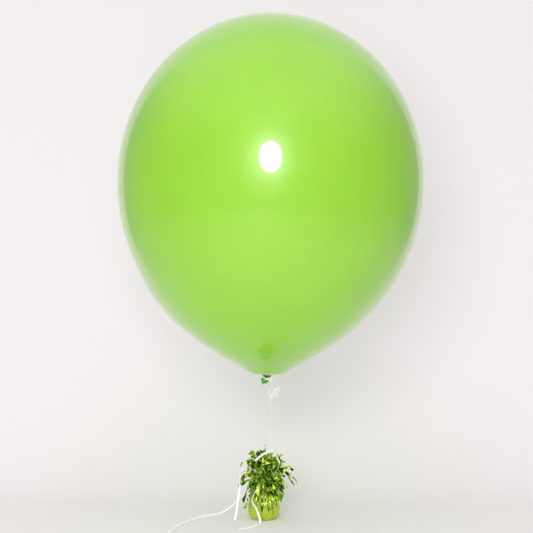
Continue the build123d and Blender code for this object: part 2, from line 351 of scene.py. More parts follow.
def latex_neck_material(name, deep, light):
    """Unstretched latex: dense colour, paler where the skin is drawn over a fold."""
    paint = Paint(name, deep, 0.35, Coat_Weight=0.2, Coat_Roughness=0.2, Specular_IOR_Level=0.35)
    patches = paint.spread(paint.noise(2.2 * MM), 0.38, 0.68, 0.0, 1.0)
    wrinkles = paint.bump(paint.noise(0.9 * MM, 4.0, (1, 1, 0.35)), 0.22 * MM)
    rough = paint.spread(paint.noise(1.2 * MM), 0.3, 0.7, 0.24, 0.46)
    return paint.feed(Base_Color=paint.mix(patches, deep, light), Roughness=rough, Normal=wrinkles)


def ribbon_material(name, alpha, glow=0.16):
    """Clear-white curling ribbon: glossy plastic with fine ribs along its length, and a painted glow for the
    light that passes through it.
    """
    paint = Paint(name, (0.95, 0.95, 0.95), 0.15, Coat_Weight=0.8, Coat_Roughness=0.06, Alpha=alpha)
    paint.shader.inputs["Emission Color"].default_value = (1, 1, 1, 1)  # painted glow, standing in for light that the clear film passes on
    paint.shader.inputs["Emission Strength"].default_value = glow
    across = paint.attribute("across")
    ribs = paint.node("ShaderNodeMath", operation="SINE")
    paint.link(paint.maths("MULTIPLY", across, 2 * math.pi * 12), ribs.inputs[0])
    clouds = paint.spread(paint.noise(6 * MM), 0.35, 0.7, 0, 1)
    tone = paint.mix(clouds, (0.97, 0.97, 0.97), (0.88, 0.89, 0.88))
    relief = paint.bump(paint.noise(2.5 * MM), 0.08 * MM, after=paint.bump(ribs.outputs[0], 0.03 * MM))
    rough = paint.spread(paint.noise(1.5 * MM), 0.3, 0.7, 0.08, 0.22)
    return paint.feed(Base_Color=tone, Roughness=rough, Normal=relief)


def foil_material(name, colours, crease, depth):
    """Metallised foil: a mirror-like skin broken by creases, with painted shade and painted reflections set
    fold by fold.
    """
    paint = Paint(name, colours[-1], 0.24, Metallic=0.72, Specular_IOR_Level=0.6)
    patches = paint.spread(paint.noise(5 * MM), 0.4, 0.62, -0.2, 0.2)
    # painted light and shade: the attribute sets how dark or bright each fold is painted, and the noise patches
    # add random tone
    share = paint.maths("ADD", paint.attribute("tint"), patches)
    facets = paint.bump(paint.cells(crease), depth)
    crinkle = paint.bump(paint.noise(crease * 0.45, 3.0), 0.7 * depth, after=facets)
    rough = paint.spread(paint.noise(3 * MM), 0.3, 0.7, 0.14, 0.32)
    return paint.feed(Base_Color=paint.ramp(share, *colours), Roughness=rough, Normal=crinkle)


def wire_material():
    paint = Paint("tie_wire", (0.09, 0.3, 0.03), 0.4, Coat_Weight=0.4)
    worn = paint.spread(paint.noise(1.5 * MM), 0.4, 0.65, 0, 1)
    return paint.feed(
        Base_Color=paint.mix(worn, (0.07, 0.26, 0.025), (0.14, 0.4, 0.05)),
        Normal=paint.bump(paint.noise(0.5 * MM), 0.05 * MM),
    )


def cup_material():
    paint = Paint("cup_plastic", (0.75, 0.75, 0.72), 0.55)
    clouds = paint.spread(paint.noise(12 * MM), 0.35, 0.65, 0, 1)
    tone = paint.mix(clouds, (0.72, 0.72, 0.69), (0.8, 0.8, 0.77))
    return paint.feed(Base_Color=tone, Normal=paint.bump(paint.noise(0.6 * MM), 0.04 * MM))


def core_material():
    paint = Paint("core_cast", (0.55, 0.53, 0.5), 0.9)
    grains = paint.spread(paint.noise(1.6 * MM, 6.0), 0.35, 0.65, 0, 1)
    return paint.feed(
        Base_Color=paint.mix(grains, (0.44, 0.42, 0.39), (0.66, 0.64, 0.6)),
        Normal=paint.bump(paint.noise(1.1 * MM, 6.0), 0.3 * MM),
    )


LATEX_BODY = latex_body_material()
LATEX_NECK = latex_neck_material("latex_neck", (0.006, 0.10, 0.004), (0.022, 0.22, 0.010))
LATEX_TAIL = latex_neck_material("latex_tail", (0.018, 0.24, 0.003), (0.075, 0.46, 0.010))
LATEX_LIP = latex_neck_material("latex_lip", (0.13, 0.60, 0.03), (0.24, 0.80, 0.07))
# each ribbon's alpha, then the strength of its painted glow where one is given
RIBBON = ribbon_material("ribbon_white", 0.92)
RIBBON_CURL = ribbon_material("ribbon_curl", 0.55, 0.08)
RIBBON_CLEAR = ribbon_material("ribbon_clear", 0.07, 0.02)
# pouch colours: painted shade down in the pleats, up to the foil's own green
FOIL_POUCH = foil_material(
    "foil_pouch", ((0.05, 0.13, 0.006), (0.36, 0.52, 0.035), (0.60, 0.78, 0.085)), 15 * MM, 0.09 * MM
)
# strip colours: a painted dark reflection, mid greens, and a painted bright reflection
FOIL_STRIPS = foil_material(
    "foil_strips",
    ((0.006, 0.045, 0.003), (0.10, 0.32, 0.012), (0.46, 0.68, 0.05), (0.88, 1.0, 0.20)),
    4 * MM,
    0.26 * MM,
)

# ------------------------------------------------------------------------ the balloon


def balloon_profile():
    """The body's half outline from the neck to the crown, as radii and heights above the neck."""
    r, flank = BODY_FILL * BELLY_RADIUS, FLANK_HEIGHT
    foot = [(2.2 * MM, -5 * MM), (3.4 * MM, -3 * MM), (6.5 * MM, -1.3 * MM), (PLAIN_END, 0)]
    side = bezier((PLAIN_END, 0), (0.24 * r, 0.04 * flank), (r, 0.34 * flank), (r, flank), 400)
    quarter = np.linspace(0, math.pi / 2, 300)[1:]
    crown = np.stack((r * np.cos(quarter), flank + CROWN_FILL * CROWN_HEIGHT * np.sin(quarter)), axis=1)
    parts = (smooth_path(foot, 0.6 * MM)[:-1], evenly(side, 3.5 * MM)[:-1], evenly(crown, 3.5 * MM))
    outline = np.concatenate(parts)
    outline[-1, 0] = 0.4 * MM
    low = outline[:, 1] < flank
    outline[:, 1] -= low * 4.2 * MM * np.exp(-(((outline[:, 0] - 34 * MM) / (17 * MM)) ** 2))
    return outline


def build_balloon():
    """The blown-up body: the outline turned about the neck, slightly uneven, with puckers at its foot."""
    outline = balloon_profile()
    columns = 288
    angle = np.linspace(0, 2 * math.pi, columns, endpoint=False)
    around = np.stack((np.cos(angle), np.sin(angle)), axis=1)
    uneven = 1 + 0.0018 * np.cos(2 * angle + 0.7) + 0.0012 * np.cos(3 * angle + 2.0)
    pleats = np.array([noise.noise(Vector((c * 3.1, s * 3.1, 5.0))) for c, s in around])
    pucker = np.abs(np.sin(8.5 * angle + 2.2 * pleats)) * (0.6 + pleats)
    rows = []
    for radius, height in outline:
        near_foot = math.exp(-(((radius - 9 * MM) / (8 * MM)) ** 2))
        left = 6 * MM * math.exp(-(((height - 120 * MM) / (60 * MM)) ** 2)) * np.maximum(0, -around[:, 0])
        right = 3 * MM * math.exp(-(((height - 48 * MM) / (22 * MM)) ** 2)) * np.maximum(0, around[:, 0])
        far = radius * (1 + (uneven - 1) * ease(radius, 20 * MM, 90 * MM)) + left - right
        lift = height - 0.55 * MM * near_foot * pucker
        rows.append(
            NECK
            + NECK_RIGHT * (far * around[:, 0])[:, None]
            + NECK_BACK * (far * around[:, 1])[:, None]
            + NECK_UP * lift[:, None]
        )
    vertices = np.concatenate(rows)
    foot_thick = np.exp(-((np.maximum(outline[:, 0] - 2.5 * MM, 0) / (5 * MM)) ** 1.2))
    crown_thick = 0.10 * np.exp(-((outline[:, 0] / (26 * MM)) ** 2)) * (outline[:, 1] > FLANK_HEIGHT)
    thick = np.repeat(foot_thick * (outline[:, 1] < FLANK_HEIGHT) + crown_thick, columns)
    faces = tube_faces(len(outline), columns)
    balloon = mesh_object("latex_body", vertices, faces, LATEX_BODY, attributes={"thick": thick})
    settle(balloon, "balloon", "latex_body", "balloon_envelope")


def folded_ring(count, width, depth, folds, pinch, phase=0.0):
    """A closed section of a tube with lengthwise folds."""
    a = np.linspace(0, 2 * math.pi, count, endpoint=False)
    swell = 1 + pinch * np.cos(folds * a + phase) + 0.4 * pinch * np.cos((folds + 2) * a - phase)
    return np.stack((width * np.cos(a) * swell, depth * np.sin(a) * swell), axis=1)


def build_knot():
    """The overhand knot: the rolled-up neck makes one turn and a bit, crosses itself and goes down."""
    turn = [near_neck(0, 0, 0.6), near_neck(0.8, 1.8, -0.8)]
    for step in range(13):
        angle = math.radians(70 - 34 * step)
        reach = 5.3 + 0.25 * math.sin(1.7 * step)
        turn.append(near_neck(1.25 * reach * math.cos(angle), reach * math.sin(angle), -1.9 - 0.15 * step))
    turn += [near_neck(-2.2, -3.0, -4.9), near_neck(-1.4, -0.6, -6.4), near_neck(-1.2, 0, -8.2)]
    path = smooth_path(turn, 0.35 * MM)
    share = np.linspace(0, 1, len(path))
    size = (1.95 + 0.35 * np.sin(math.pi * share) + 0.16 * np.sin(23 * share)) * MM
    sections = np.stack([folded_ring(28, r, 0.92 * r, 5, 0.10, 9 * s) for r, s in zip(size, share)])
    rows = sweep_rows(path, UP, sections)
    knot = mesh_object("latex_knot", rows.reshape(-1, 3), tube_faces(*rows.shape[:2]), LATEX_NECK)
    fused(knot, 0.28 * MM)
    settle(knot, "balloon", "latex_neck", "neck_knot")


# the creases along the tail: where around it, how far each slants, how deep and how wide
TAIL_FOLDS = (
    (4.05, 0.75, 0.30, 0.22),
    (5.2, -0.8, 0.26, 0.20),
    (1.2, 0.5, 0.25, 0.25),
    (2.4, -0.4, 0.2, 0.3),
)


def tail_row(share, inset, count=72):
    """One ring of the flared tail, from its stem at share 0 to its mouth at share 1."""
    aside = -0.6 - 4.2 * ease(share, 0, 0.2) + 1.2 * share
    width = (3.2 + 4.8 * ease(share, 0, 0.2) - 2.3 * share) * MM - inset
    depth = (2.7 + 1.7 * ease(share, 0.1, 1.0)) * MM - inset
    tilt = math.radians(16 * ease(share, 0, 0.2) - 34 * ease(share, 0.3, 1))
    a = np.linspace(0, 2 * math.pi, count, endpoint=False)
    swell = np.ones(count)
    for place, slant, deep, wide in TAIL_FOLDS:
        off = (a - place - slant * (share - 0.5) + math.pi) % (2 * math.pi) - math.pi
        swell -= deep * (1 - 0.55 * share) * np.exp(-((off / wide) ** 2))
    swell += 0.03 * np.sin(9 * a + 4 * share)
    right = NECK_RIGHT * math.cos(tilt) - NECK_UP * math.sin(tilt)
    centre = near_neck(aside, -0.2, -7.6 - 10.2 * share)
    sideways = right * (width * np.cos(a) * swell)[:, None]
    return centre + sideways + NECK_BACK * (depth * np.sin(a) * swell)[:, None]


def build_tail():
    shares = np.linspace(0, 1, 26)
    outer = [tail_row(share, 0) for share in shares]
    inner = [tail_row(share, 0.55 * MM) for share in shares[:5:-1]]
    rows = np.array(outer + inner)
    tail = mesh_object("latex_tail", rows.reshape(-1, 3), tube_faces(*rows.shape[:2]), LATEX_TAIL)
    settle(tail, "balloon", "latex_neck", "neck_tail")


def build_lip():
    """The rolled bead on the mouth of the tail."""
    mouth = tail_row(1.0, 0.2 * MM)
    centre = mouth.mean(axis=0)
    outward = mouth - centre
    outward /= np.linalg.norm(outward, axis=1)[:, None]
    along = np.roll(mouth, -1, axis=0) - np.roll(mouth, 1, axis=0)
    across = np.cross(along / np.linalg.norm(along, axis=1)[:, None], outward)
    a = np.linspace(0, 2 * math.pi, 16, endpoint=False)
    thickness = (0.86 + 0.1 * np.sin(5 * np.linspace(0, 2 * math.pi, len(mouth), endpoint=False))) * MM
    rows = (
        mouth[:, None]
        + thickness[:, None, None] * np.cos(a)[None, :, None] * outward[:, None]
        + thickness[:, None, None] * np.sin(a)[None, :, None] * across[:, None]
    )
    lip = mesh_object("latex_lip", rows.reshape(-1, 3), grid_faces(len(mouth), 16, loop=True), LATEX_LIP)
    settle(lip, "balloon", "latex_lip", "rolled_lip")


# ------------------------------------------------------------------------- the ribbon

RIBBON_WIDTH = 5.0 * MM
RIBBON_THICKNESS = 0.25 * MM


def strip_section(width, thickness, camber, count=7):
    """A thin closed section, bowed across its width, and the share across at each of its points."""
    across = np.linspace(-0.5, 0.5, count)
    bow = camber * (1 - (2 * across) ** 2)
    top = np.stack((across * width, bow + thickness / 2), axis=1)
    under = np.stack((across * width, bow - thickness / 2), axis=1)[::-1]
    return np.concatenate((top, under)), np.concatenate((across, across[::-1])) + 0.5


class Strips:
    """Gathers ribbon or foil strips into one mesh."""

    def __init__(self):
        self.vertices, self.faces, self.across, self.tint, self.count = [], [], [], [], 0

    # the last argument sets each row's place on the foil's scale from painted shade to painted bright
    # reflection
    def add(self, rows, across, tint=0.5):
        self.faces += tube_faces(rows.shape[0], rows.shape[1], self.count)
        self.vertices.append(rows.reshape(-1, 3))
        self.across.append(np.tile(across, rows.shape[0]))
        self.tint.append(np.repeat(np.broadcast_to(tint, rows.shape[0]), rows.shape[1]))
        self.count += rows.shape[0] * rows.shape[1]

    def finish(self, name, material, smooth=True):
        attributes = {"across": np.concatenate(self.across), "tint": np.concatenate(self.tint)}
        return mesh_object(name, np.concatenate(self.vertices), self.faces, material, smooth, attributes)


def ribbon(strips, points, facings, camber=0.35, width=RIBBON_WIDTH):
    """Adds a length of ribbon through points in millimetres, its face turned evenly through the facings."""
    path = smooth_path(np.array(points, float) * MM, 0.8 * MM)
    tangent = np.gradient(path, axis=0)
    tangent /= np.linalg.norm(tangent, axis=1)[:, None]
    aims = np.array(facings, float)
    share = np.linspace(0, 1, len(path))
    aim = np.stack([np.interp(share, np.linspace(0, 1, len(aims)), aims[:, k]) for k in range(3)], axis=1)
    sides = np.cross(aim, tangent)
    sides /= np.linalg.norm(sides, axis=1)[:, None]
    faces = np.cross(tangent, sides)
    section, across = strip_section(width, RIBBON_THICKNESS, camber * MM)
    rows = path[:, None] + section[:, :1] * sides[:, None] + section[:, 1:] * faces[:, None]
    strips.add(rows, across)


def bunched(strips, path, radius):
    """Adds ribbon pulled tight into a ribbed cord along a path in metres."""
    share = np.linspace(0, 1, len(path))
    sections = np.stack([folded_ring(18, radius, 0.75 * radius, 4, 0.16, 11 * s) for s in share])
    strips.add(sweep_rows(path, UP, sections), np.linspace(0, 1, 18))


def knot_path(centre, reach):
    """A small overhand knot that fits inside a ball about the centre."""
    t = np.linspace(0.25, 2 * math.pi - 0.05, 240)
    loop = np.stack((np.sin(t) + 2 * np.sin(2 * t), -np.sin(3 * t), np.cos(t) - 2 * np.cos(2 * t)), axis=1)
    return evenly(np.array(centre) + loop * reach / 3, 0.2 * MM)


def build_wrap():
    """The ribbon's turns around the neck, under the knot."""
    strips = Strips()
    count = 190
    angle = np.linspace(0.3, 0.3 + 2 * math.pi * 2.3, count)
    turn = 3.9 + 0.35 * np.sin(2.3 * angle) + 2.6 * np.maximum(0, -np.sin(angle)) ** 2
    height = -7.0 - 2.6 * np.linspace(0, 1, count) + 0.5 * np.sin(angle)
    path = np.array([near_neck(r * math.cos(a), r * math.sin(a), h) for r, a, h in zip(turn, angle, height)])
    bunched(strips, evenly(path, 0.3 * MM), 1.25 * MM)
    wrap = strips.finish("ribbon_wrap", RIBBON)
    settle(wrap, "balloon", "ribbon", "neck_wrap")


def build_small_knot(name, node, body, centre, ball):
    """A tight knot in the ribbon, inside a ball of clear space about its pivot."""
    strips = Strips()
    bunched(strips, knot_path(centre, 0.62 * ball), 0.34 * ball)
    knot = strips.finish(name, RIBBON)
    fused(knot, 0.05 * ball)
    settle(knot, body, "ribbon", node)


def build_tether():
    """The one ribbon between the two knots, its face turning a little along its length, in place of the
    tether's lower and upper parts.
    """
    low = FOOT_PIVOT[2] / MM + APEX_BALL / MM - 0.1
    high = HITCH_PIVOT[2] / MM - HITCH_BALL / MM + 0.1
    x = FOOT_PIVOT[0] / MM
    strips = Strips()
    facings = [(0.1, -1, 0), (-0.3, -1, 0), (0.25, -1, 0), (-0.1, -1, 0)]
    ribbon(strips, [(x, 0, low), (x, 0, (low + high) / 2), (x, 0, high)], facings, 0.2)
    tether = strips.finish("tether_ribbon", RIBBON_CLEAR)
    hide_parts("tether_lower", "tether_upper")
    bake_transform(tether)


# each curl as points in millimetres from the knot, and the ways its face turns along it
CURLS = (
    (
        [(0.5, -1, 0.5), (7, -3, 5), (14, -3, 9.5), (16.5, -1, 7), (12, 1, 3), (1, 0, -0.4)],
        [(0, -1, 1), (1, -1, 0), (0, -1, -0.6)],
    ),
    (
        [(0.5, -1, 0), (6, -4, -1), (12, -5, -1), (13, -2, -4), (7, 0, -4), (0.5, 0, -1)],
        [(0, -1, 1), (1, -1, 0.4), (0, -1, -0.3)],
    ),
    (
        [(-0.5, -1, 0), (-5, -3, 2), (-8.5, -3, -1), (-6.5, -1, -5), (-0.5, 0, -1)],
        [(0, -1, 0.7), (-1, -0.6, 0), (0.2, -1, -1)],
    ),
    (
        [(0, -1, -1), (-1, -5, -6), (-3.5, -5, -11), (-1.5, -1.5, -13), (1, -1, -7), (0.5, 0, -1)],
        [(-0.5, -1, 0), (-1, -1, -0.5), (1, -0.6, 0)],
    ),
    (
        [(1, 0, 0), (6, -2, -6), (8, -5, -10), (12, -3, -12), (13, 1, -9)],
        [(0.6, -1, 0.4), (0.4, -0.6, 1), (1, 0.2, -0.4)],
    ),
    ([(-0.5, 0, 0.5), (-4, 2, 6), (-8, 0, 9), (-9.5, -3, 7)], [(0.6, -1, 0), (0, -1, 0.8), (-1, 0, 0.3)]),
)


def build_curls():
    """The spare ribbon knotted around the tether under the hitch: loops and two curled ends."""
    strips = Strips()
    x, z = HITCH_PIVOT[0] / MM, HITCH_PIVOT[2] / MM - 25
    centre = (x + 1.0, -1.2, z)
    bunched(strips, knot_path(np.array(centre) * MM, 2.0 * MM), 0.95 * MM)

    for points, facings in CURLS:
        ribbon(strips, [np.add(centre, p) for p in points], facings, 0.3, 4.2 * MM)
    curls = strips.finish("ribbon_curls", RIBBON_CURL)
    settle(curls, "tether_high", "ribbon", "ribbon_bow")


def build_sling():
    """The ribbon's two legs, from the foot knot down into the middle of the tassel."""
    strips = Strips()
    x, z = FOOT_PIVOT[0] / MM, FOOT_PIVOT[2] / MM
    left = [(-4.4, -0.8, -1.2), (-13, -7, -4), (-23, -14, -9.5), (-30, -14, -16), (-30, -5, -27), (-19, 0, -57)]
    left_facings = [(-0.1, -0.8, 0.6), (-0.2, -0.8, 0.5), (-1, -0.5, 0.2)]
    right = [(4.4, -0.6, -1.8), (10.5, -9, -8), (16.5, -18, -19), (13, -12, -32), (-8, -2, -57)]
    right_facings = [(0.5, -0.5, 0.6), (0.9, -0.4, 0.4), (1, 0.2, 0.2)]
    for points, facings in ((left, left_facings), (right, right_facings)):
        ribbon(strips, [(x + a, b, z + c) for a, b, c in points], facings)
    sling = strips.finish("ribbon_sling", RIBBON)
    settle(sling, "weight", "ribbon", "sling_ribbon")


# the loose ends: piece, CAD node, points in millimetres, and the ways the face turns along them
RIBBON_ENDS = (
    (
        "ribbon_front_tail",
        "front_tail",
        [
            (-6, -9, 62), (-17, -24, 56), (-23, -36, 42), (-15, -39, 26), (-9, -42, 12), (-7, -49, 2.9),
            (-16, -66, 1.5), (-31, -86, 1.3), (-47, -97, 1.3),
        ],
        [(-0.2, -1, 0.5), (-1, -0.3, 0.1), (-0.9, -0.7, 0.2), (-0.4, -0.8, 0.8), (0.2, -0.5, 1), (0, -0.4, 1)],
    ),
    (
        "ribbon_side_tail",
        "side_tail",
        [
            (-6, -3, 74), (-20, -12, 97), (-36, -18, 103), (-45, -21, 95), (-47.5, -22, 66), (-51, -23, 34),
            (-56, -24, 2),
        ],
        [(-0.3, -0.6, 0.7), (-0.8, -0.2, 0.6), (-1, -0.25, 0.1), (0.1, -1, 0), (0.15, -1, 0)],
    ),
    (
        "ribbon_floor_tail",
        "floor_tail",
        [
            (-8, 6, 62), (-26, 20, 56), (-46, 32, 36), (-61, 38, 18), (-78, 36, 5.6), (-114, 8, 2.6),
            (-146, -30, 2.3), (-167, -82, 2.3), (-180, -138, 2.3),
        ],
        [(-0.2, 0, 1), (-0.6, -0.3, 0.7), (0, -0.9, 0.8), (0, -0.6, 1), (0.2, -0.5, 1), (0.2, -0.5, 1)],
    ),
)


def build_ribbon_end(name, node, points, facings):
    """One loose end of the ribbon."""
    strips = Strips()
    ribbon(strips, points, facings)
    end = strips.finish(name, RIBBON)
    settle(end, "weight", "ribbon", node)


# ------------------------------------------------------------------------- the weight


def pouch_radius(z):
    """The foil pouch's mean radius at a height in metres."""
    heights = np.array((0, 2, 7, 14, 22, 32, 40, 46, 51, 55, 58, 64, 68)) * MM
    radii = np.array((23.5, 26.3, 29.6, 31.3, 31.0, 29.2, 27.4, 25.2, 20.5, 13.6, 9.2, 10.8, 14.0)) * MM
    return np.interp(z, heights, radii) * POUCH_RADIUS / DRAWN_POUCH_RADIUS


def build_pouch():
    """The foil drawn up around the cup: pleats that deepen towards the tie, and a ragged collar."""
    columns = 480
    angle = np.linspace(0, 2 * math.pi, columns, endpoint=False)
    random_fold = random.Random(11)
    folds = []
    for k in range(26):
        centre = 2 * math.pi * (k + random_fold.uniform(-0.35, 0.35)) / 26
        reach_down = random_fold.choice((3, 8, 14, 20, 26)) * MM
        folds.append((centre, random_fold.uniform(0.06, 0.13), random_fold.uniform(1.2, 3.4), reach_down))
    base = [(r * MM, 0.0) for r in (0.2, 6, 12, 17, 21)]
    wall_z = np.concatenate((np.linspace(0, 6 * MM, 7), np.linspace(6 * MM, POUCH_TOP, 72)[1:]))
    soft = smooth_path(np.stack((pouch_radius(wall_z), wall_z), axis=1)[::4], 0.8 * MM)
    outline = np.concatenate((base, soft[soft[:, 1] >= 0]))
    rows, tints = [], []
    for radius, z in outline:
        gather = ease(z, 2 * MM, 52 * MM)
        dip = np.zeros(columns)
        for centre, width, depth, reach_down in folds:
            off = np.abs((angle - centre + math.pi) % (2 * math.pi) - math.pi)
            deep = ease(z, reach_down - 4 * MM, reach_down + 26 * MM)
            wide = width * (0.3 + 0.7 * deep)
            dip += depth * MM * deep * np.clip(1 - off / wide, 0, 1) * (radius / POUCH_RADIUS + 0.25)
        points = np.stack((np.cos(angle) * radius, np.sin(angle) * radius, np.full(columns, z)), axis=1)
        wall = ease(z, 0, 3 * MM)
        crumple = 0.6 * MM * lumps(points, 11 * MM, 3.0) + 0.22 * MM * np.abs(lumps(points, 5 * MM, 8.0))
        # painted shade: the foil is painted darker down in each pleat, by the pleat's depth
        tints.append(np.clip(0.9 - dip / (2.2 * MM), 0.05, 1))
        r = radius + wall * (crumple + gather * 0.35 * MM * np.sin(23 * angle)) - dip
        if z > POUCH_TOP - 6 * MM:
            z = z + 1.6 * MM * np.sin(17 * angle + np.sin(5 * angle))
        rows.append(np.stack((np.cos(angle) * r, np.sin(angle) * r, np.broadcast_to(z, columns)), axis=1))
    outer = np.array(rows)
    thickness = 0.3 * MM
    inner = outer[::-1].copy()
    lengths = np.linalg.norm(inner[..., :2], axis=2, keepdims=True)
    inner[..., :2] *= np.maximum(lengths - thickness, 0.1 * MM) / lengths
    inner[..., 2] = np.where(inner[..., 2] < thickness, thickness, inner[..., 2])
    rows = np.concatenate((outer, inner))
    pouch = mesh_object(
        "foil_pouch",
        rows.reshape(-1, 3),
        tube_faces(*rows.shape[:2]),
        FOIL_POUCH,
        attributes={"tint": np.concatenate(tints + tints[::-1])},
    )
    settle(pouch, "weight", "foil_wrap", "foil_wrap")


def build_tie():
    """Two wires twisted together around the neck, with their ends sticking out."""
    strips = Strips()
    ring = np.linspace(0, 2 * math.pi, 260)
    for phase in (0, math.pi):
        wobble = 15 * ring + phase
        r = 9.7 * MM + 0.45 * MM * np.cos(wobble)
        path = np.stack((r * np.cos(ring), r * np.sin(ring), TIE_Z + 0.45 * MM * np.sin(wobble)), axis=1)
        bunched(strips, evenly(path, 0.5 * MM), 0.42 * MM)
    for heading in (-35, -62):
        out = np.array((math.cos(math.radians(heading)), math.sin(math.radians(heading)), 0))
        points = [out * 9.6 * MM, out * 15 * MM - UP * 1 * MM, out * 20 * MM - UP * 4.5 * MM]
        bunched(strips, smooth_path(np.array(points) + UP * TIE_Z, 0.5 * MM), 0.5 * MM)
    tie = strips.finish("foil_tie", wire_material())
    settle(tie, "weight", "tie_wire", "neck_tie")


def clear_of_tether(path):
    """True if a strip leaves room for the tether to lean every way about its foot."""
    above = path[:, 2] - (FOOT_PIVOT[2] - 9 * MM)
    away = np.linalg.norm(path[:, :2] - FOOT_PIVOT[:2], axis=1)
    return bool(np.all((above < 0) | (away > 7.5 * MM + 0.75 * above)))


def off_pouch(path):
    """Moves points of a strip that would be inside the pouch, or in the floor, just outside."""
    away = np.linalg.norm(path[:, :2], axis=1)
    least = np.where(path[:, 2] < 60 * MM, pouch_radius(path[:, 2]) + 1.6 * MM, 0)
    path[:, :2] *= np.maximum(1, least / np.maximum(away, 1 * MM))[:, None]
    path[:, 2] = np.maximum(path[:, 2], 3 * MM)
    return path


def foil_strip(strips, root, tip, rise, rng, width):
    """Adds one crumpled strip that rises from its root and bends over to its tip, kinked at each fold."""
    root, tip = np.array(root, float) * MM, np.array(tip, float) * MM
    span = np.linalg.norm(tip - root)
    outward = np.array((tip[0], tip[1], 0.0))
    outward /= np.linalg.norm(outward) + 1e-9
    first = root + (UP * 0.5 + outward * 0.25) * span * rise
    second = tip + (UP * 0.45 - outward * 0.05) * span * rise - (tip - root) * 0.12
    folds = evenly(bezier(root, first, second, tip, 60), rng.uniform(5.0, 8.0) * MM)
    loose = ease(np.linspace(0, 1, len(folds)), 0, 0.35)
    for i in range(1, len(folds)):
        folds[i] += 2.3 * MM * loose[i] * np.array([rng.uniform(-1, 1) for _ in range(3)])
    folds = off_pouch(folds)
    corner = np.linspace(0, len(folds) - 1, 3 * (len(folds) - 1) + 1)
    path = np.stack([np.interp(corner, np.arange(len(folds)), folds[:, k]) for k in range(3)], axis=1)
    if not clear_of_tether(path):
        return False
    turns = np.cumsum([rng.uniform(-30, 30)] + [rng.uniform(-65, 65) for _ in folds[1:]])
    # painted light and shade: each fold gets a random level, from a painted dark reflection to a painted bright
    # reflection
    tints = np.array([rng.choice((0.0, 0.15, 0.35, 0.55, 0.7, 0.85, 1.0)) for _ in folds])
    cambers = np.array([rng.uniform(-0.9, 0.9) for _ in folds])
    turn = np.interp(corner, np.arange(len(folds)), turns)
    camber = np.interp(corner, np.arange(len(folds)), cambers)
    wide = width * MM * (0.45 + 0.55 * ease(corner / corner[-1], 0.0, 0.25))
    sections = np.array([strip_section(w, 0.14 * MM, c * MM, 3)[0] for w, c in zip(wide, camber)])
    across = strip_section(1, 1, 0, 3)[1]
    rows = sweep_rows(path, np.cross(outward, UP), sections, turn)
    ahead = path[-1] - path[-2]
    ahead /= np.linalg.norm(ahead)
    rows[-1] += ahead * ((across - 0.5) * rng.uniform(-2, 2) * MM)[:, None]
    strips.add(rows, across, tints[np.minimum(corner.astype(int), len(folds) - 1)])
    return True


# tips of the strips that stand out of the tassel's outline, in millimetres
OUTER_TIPS = [
    (66, -14, 69), (57, -20, 68), (57, 2, 92), (44, -18, 62), (-46, -8, 101), (-46, -12, 86), (-45, -18, 76),
    (-44, 12, 60), (-36, -20, 24), (-40, -22, 36), (34, -26, 38), (10, -44, 30), (-12, -46, 46), (18, 46, 40),
    (-49, 20, 52), (30, 40, 30), (-20, 44, 34), (48, 26, 56),
]
UPPER_TIPS = [
    (7, -12, 144), (5, -17, 139), (-23, -14, 135), (-30, 14, 122), (38, -8, 124), (2, 30, 136), (44, 6, 108),
]
BUSH_CENTRE = (4, 0, 84)
BUSH_REACH = (42, 40, 48)
BUSH_DROP = 66  # how far the lowest strips hang below the centre


def bush_tip(rng, low, high):
    """A random tip in the tassel's round mass, between two elevations in degrees."""
    around = rng.uniform(0, 2 * math.pi)
    tilt = math.radians(rng.uniform(low, high))
    depth = rng.uniform(0.62, 1.03)
    spot = (math.cos(tilt) * math.cos(around), math.cos(tilt) * math.sin(around), math.sin(tilt))
    reach = BUSH_REACH if tilt > 0 else (*BUSH_REACH[:2], BUSH_DROP)
    return tuple(c + depth * r * s for c, r, s in zip(BUSH_CENTRE, reach, spot))


def build_tassel(name, node, seed, count, set_tips, elevations, rises):
    """One ring of the tassel: the strips with set tips first, then random ones."""
    rng = random.Random(seed)
    strips = Strips()
    wanted = list(set_tips)
    made = 0
    while made < count:
        tip = wanted.pop(0) if wanted else bush_tip(rng, *elevations)
        heading = math.atan2(tip[1], tip[0]) + rng.uniform(-0.5, 0.5)
        start = rng.uniform(1.5, 7.0)
        root = (start * math.cos(heading), start * math.sin(heading), rng.uniform(58, 63))
        made += foil_strip(strips, root, tip, rng.uniform(*rises), rng, rng.uniform(4.8, 6.6))
    tassel = strips.finish(name, FOIL_STRIPS, smooth=False)
    settle(tassel, "weight", "tassel_foil", node)


def build_roots():
    """The gathered roots of the strips, a pleated bundle inside the foil's neck."""
    low, high = box_of("tassel_bundle")[:2]
    heights = np.linspace(low[2], high[2], 24)
    twist = np.linspace(0, 1.1, 24)
    rings = [folded_ring(96, 4.9 * MM, 4.9 * MM, 13, 0.09, t) for t in twist]
    rows = np.array([np.column_stack((ring, np.full(96, z))) for ring, z in zip(rings, heights)])
    strips = Strips()
    strips.add(rows, np.linspace(0, 1, 96), 0.3)
    roots = strips.finish("tassel_roots", FOIL_STRIPS)
    settle(roots, "weight", "tassel_foil", "tassel_bundle")


# -------------------------------------------------------------------------- the stage

CAMERA_DISTANCE = 2.8
CAMERA_HEIGHT = 0.65
VIEW_WIDTH = 1.045  # what the picture spans at the object
FLOOR_WHITE = (0.91, 0.872, 0.90)
WALL_WHITE = (0.50, 0.48, 0.495)
WALL_GLOW = 0.42  # the backdrop's own light
VIEW_CENTRE = (0.005, 0.493)  # the point of the object's plane in the middle of the picture


